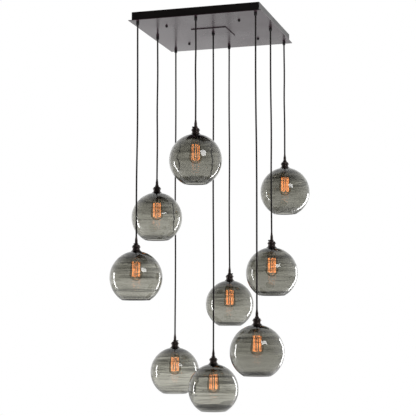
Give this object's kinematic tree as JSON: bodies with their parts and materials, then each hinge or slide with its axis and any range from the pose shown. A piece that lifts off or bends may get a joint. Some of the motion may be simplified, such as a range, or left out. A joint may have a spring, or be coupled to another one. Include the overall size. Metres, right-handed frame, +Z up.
{
  "type": "cluster pendant light",
  "caption": "Ceiling cluster pendant: a square canopy with a grid of cords at staggered heights, each with a turned socket cap, an open smoke glass globe and a filament bulb.",
  "frame": {"origin": "middle of the mounting frame's top face, on the ceiling plane, above the centre cord", "axes": "+Z up into the ceiling, +X along the canopy's near side to the right, +Y away from the viewer"},
  "size_m": [0.777, 0.777, 1.7727],
  "materials": {
    "canopy_paint": "semi-gloss black",
    "black_screw": "black oxide",
    "grip_plastic": "black nylon",
    "bare_steel": "zinc plated",
    "block_plastic": "moulded",
    "lead_sheath": "black sheath",
    "cord_fabric": "woven black cover",
    "cap_bronze": "dark bronze, satin",
    "socket_black": "moulded black",
    "smoke_glass": "blown, smoke grey",
    "bulb_glass": "clear, amber tinted"
  },
  "bodies": {
    "canopy": {"mounting_frame": "bare_steel", "standoffs": "bare_steel", "canopy_box": "canopy_paint", "canopy_plate": "canopy_paint", "canopy_screws": "black_screw", "cord_grips": "grip_plastic", "grip_nuts": "bare_steel", "terminal_block": "block_plastic", "block_screws": "bare_steel", "inner_leads": "lead_sheath"},
    "cover_near": {"access_cover_near": "canopy_paint", "cover_screws_near": "black_screw"},
    "cover_far": {"access_cover_far": "canopy_paint", "cover_screws_far": "black_screw"},
    "pendant_1": {"cord_1": "cord_fabric", "socket_cap_1": "cap_bronze", "lamp_socket_1": "socket_black", "glass_globe_1": "smoke_glass"},
    "bulb_1": {"bulb_1": "bulb_glass"},
    "pendant_2": {"cord_2": "cord_fabric", "socket_cap_2": "cap_bronze", "lamp_socket_2": "socket_black", "glass_globe_2": "smoke_glass"},
    "bulb_2": {"bulb_2": "bulb_glass"},
    "pendant_3": {"cord_3": "cord_fabric", "socket_cap_3": "cap_bronze", "lamp_socket_3": "socket_black", "glass_globe_3": "smoke_glass"},
    "bulb_3": {"bulb_3": "bulb_glass"},
    "pendant_4": {"cord_4": "cord_fabric", "socket_cap_4": "cap_bronze", "lamp_socket_4": "socket_black", "glass_globe_4": "smoke_glass"},
    "bulb_4": {"bulb_4": "bulb_glass"},
    "pendant_5": {"cord_5": "cord_fabric", "socket_cap_5": "cap_bronze", "lamp_socket_5": "socket_black", "glass_globe_5": "smoke_glass"},
    "bulb_5": {"bulb_5": "bulb_glass"},
    "pendant_6": {"cord_6": "cord_fabric", "socket_cap_6": "cap_bronze", "lamp_socket_6": "socket_black", "glass_globe_6": "smoke_glass"},
    "bulb_6": {"bulb_6": "bulb_glass"},
    "pendant_7": {"cord_7": "cord_fabric", "socket_cap_7": "cap_bronze", "lamp_socket_7": "socket_black", "glass_globe_7": "smoke_glass"},
    "bulb_7": {"bulb_7": "bulb_glass"},
    "pendant_8": {"cord_8": "cord_fabric", "socket_cap_8": "cap_bronze", "lamp_socket_8": "socket_black", "glass_globe_8": "smoke_glass"},
    "bulb_8": {"bulb_8": "bulb_glass"},
    "pendant_9": {"cord_9": "cord_fabric", "socket_cap_9": "cap_bronze", "lamp_socket_9": "socket_black", "glass_globe_9": "smoke_glass"},
    "bulb_9": {"bulb_9": "bulb_glass"}
  },
  "joints": [
    {"name": "cover_near_drop", "type": "slide", "parent": "canopy", "child": "cover_near", "axis": [0, 0, -1], "range_m": [0, 0.04]},
    {"name": "cover_far_drop", "type": "slide", "parent": "canopy", "child": "cover_far", "axis": [0, 0, -1], "range_m": [0, 0.04]},
    {"name": "pendant_1_swing", "type": "hinge", "parent": "canopy", "child": "pendant_1", "pos_m": [-0.272, -0.272, -0.0555], "axis": [0, 1, 0], "range_deg": [-3, 3]},
    {"name": "bulb_1_unscrew", "type": "hinge", "parent": "pendant_1", "child": "bulb_1", "pos_m": [-0.272, -0.272, -1.0685], "axis": [0, 0, 1], "range_deg": [-1080, 0]},
    {"name": "pendant_2_swing", "type": "hinge", "parent": "canopy", "child": "pendant_2", "pos_m": [0, -0.272, -0.0555], "axis": [0, 1, 0], "range_deg": [-3, 3]},
    {"name": "bulb_2_unscrew", "type": "hinge", "parent": "pendant_2", "child": "bulb_2", "pos_m": [0, -0.272, -0.5635], "axis": [0, 0, 1], "range_deg": [-1080, 0]},
    {"name": "pendant_3_swing", "type": "hinge", "parent": "canopy", "child": "pendant_3", "pos_m": [0.272, -0.272, -0.0555], "axis": [0, 1, 0], "range_deg": [-3, 3]},
    {"name": "bulb_3_unscrew", "type": "hinge", "parent": "pendant_3", "child": "bulb_3", "pos_m": [0.272, -0.272, -1.3905], "axis": [0, 0, 1], "range_deg": [-1080, 0]},
    {"name": "pendant_4_swing", "type": "hinge", "parent": "canopy", "child": "pendant_4", "pos_m": [-0.272, 0, -0.0555], "axis": [0, 1, 0], "range_deg": [-3, 3]},
    {"name": "bulb_4_unscrew", "type": "hinge", "parent": "pendant_4", "child": "bulb_4", "pos_m": [-0.272, 0, -0.7795], "axis": [0, 0, 1], "range_deg": [-1080, 0]},
    {"name": "pendant_5_swing", "type": "hinge", "parent": "canopy", "child": "pendant_5", "pos_m": [0, 0, -0.0555], "axis": [0, 1, 0], "range_deg": [-3, 3]},
    {"name": "bulb_5_unscrew", "type": "hinge", "parent": "pendant_5", "child": "bulb_5", "pos_m": [0, 0, -1.5625], "axis": [0, 0, 1], "range_deg": [-1080, 0]},
    {"name": "pendant_6_swing", "type": "hinge", "parent": "canopy", "child": "pendant_6", "pos_m": [0.272, 0, -0.0555], "axis": [0, 1, 0], "range_deg": [-3, 3]},
    {"name": "bulb_6_unscrew", "type": "hinge", "parent": "pendant_6", "child": "bulb_6", "pos_m": [0.272, 0, -1.0445], "axis": [0, 0, 1], "range_deg": [-1080, 0]},
    {"name": "pendant_7_swing", "type": "hinge", "parent": "canopy", "child": "pendant_7", "pos_m": [-0.272, 0.272, -0.0555], "axis": [0, 1, 0], "range_deg": [-3, 3]},
    {"name": "bulb_7_unscrew", "type": "hinge", "parent": "pendant_7", "child": "bulb_7", "pos_m": [-0.272, 0.272, -1.4925], "axis": [0, 0, 1], "range_deg": [-1080, 0]},
    {"name": "pendant_8_swing", "type": "hinge", "parent": "canopy", "child": "pendant_8", "pos_m": [0, 0.272, -0.0555], "axis": [0, 1, 0], "range_deg": [-3, 3]},
    {"name": "bulb_8_unscrew", "type": "hinge", "parent": "pendant_8", "child": "bulb_8", "pos_m": [0, 0.272, -1.1765], "axis": [0, 0, 1], "range_deg": [-1080, 0]},
    {"name": "pendant_9_swing", "type": "hinge", "parent": "canopy", "child": "pendant_9", "pos_m": [0.272, 0.272, -0.0555], "axis": [0, 1, 0], "range_deg": [-3, 3]},
    {"name": "bulb_9_unscrew", "type": "hinge", "parent": "pendant_9", "child": "bulb_9", "pos_m": [0.272, 0.272, -0.6485], "axis": [0, 0, 1], "range_deg": [-1080, 0]}
  ]
}
